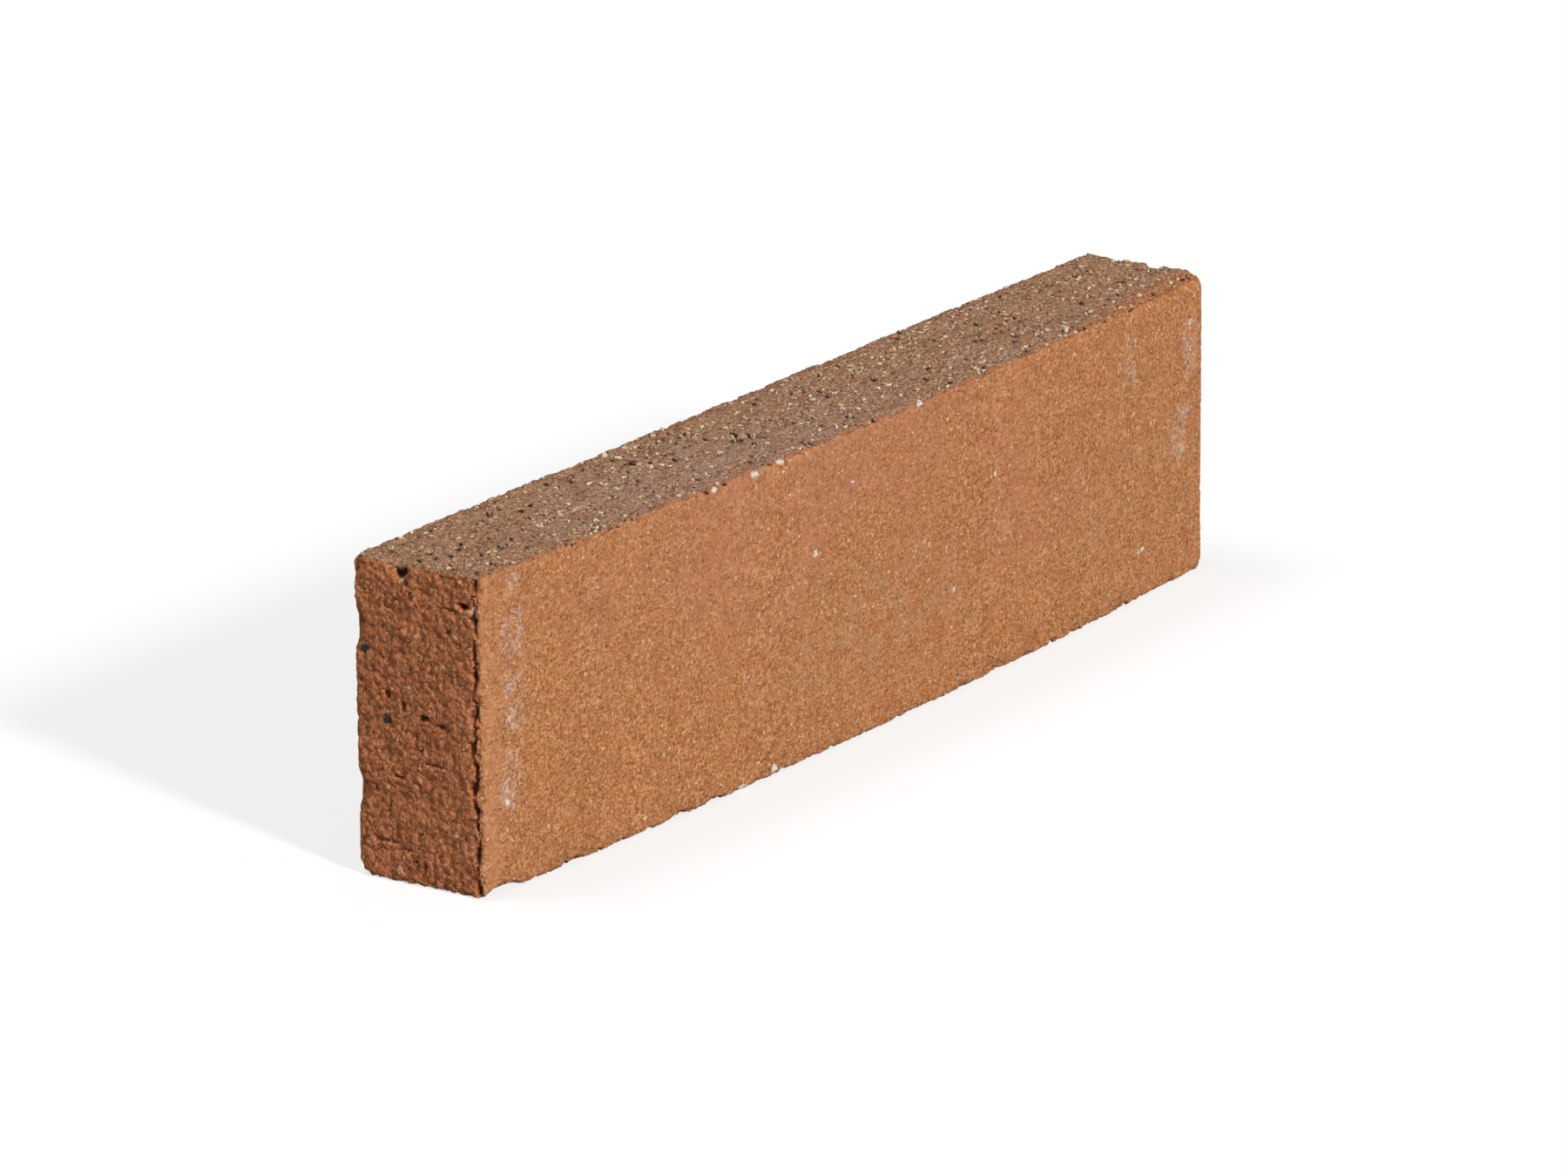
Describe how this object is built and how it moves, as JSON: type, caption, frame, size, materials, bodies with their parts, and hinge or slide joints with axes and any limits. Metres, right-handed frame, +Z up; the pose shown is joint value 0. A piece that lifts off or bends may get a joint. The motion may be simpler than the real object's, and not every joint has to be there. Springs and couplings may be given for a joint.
{
  "type": "clay brick",
  "caption": "Solid long-format clay brick with a slightly bowed broad face and worn arrises, laid in mortar to build walls.",
  "frame": {"origin": "centre of the bounding box in plan, at the floor under the brick", "axes": "+X along the length, +Y out of the straight broad face, +Z up from the long narrow side it stands on"},
  "size_m": [0.4, 0.0524, 0.1],
  "materials": {
    "fired_clay": "unglazed, rough and matte"
  },
  "bodies": {
    "root": {"brick": "fired_clay"}
  },
  "joints": []
}
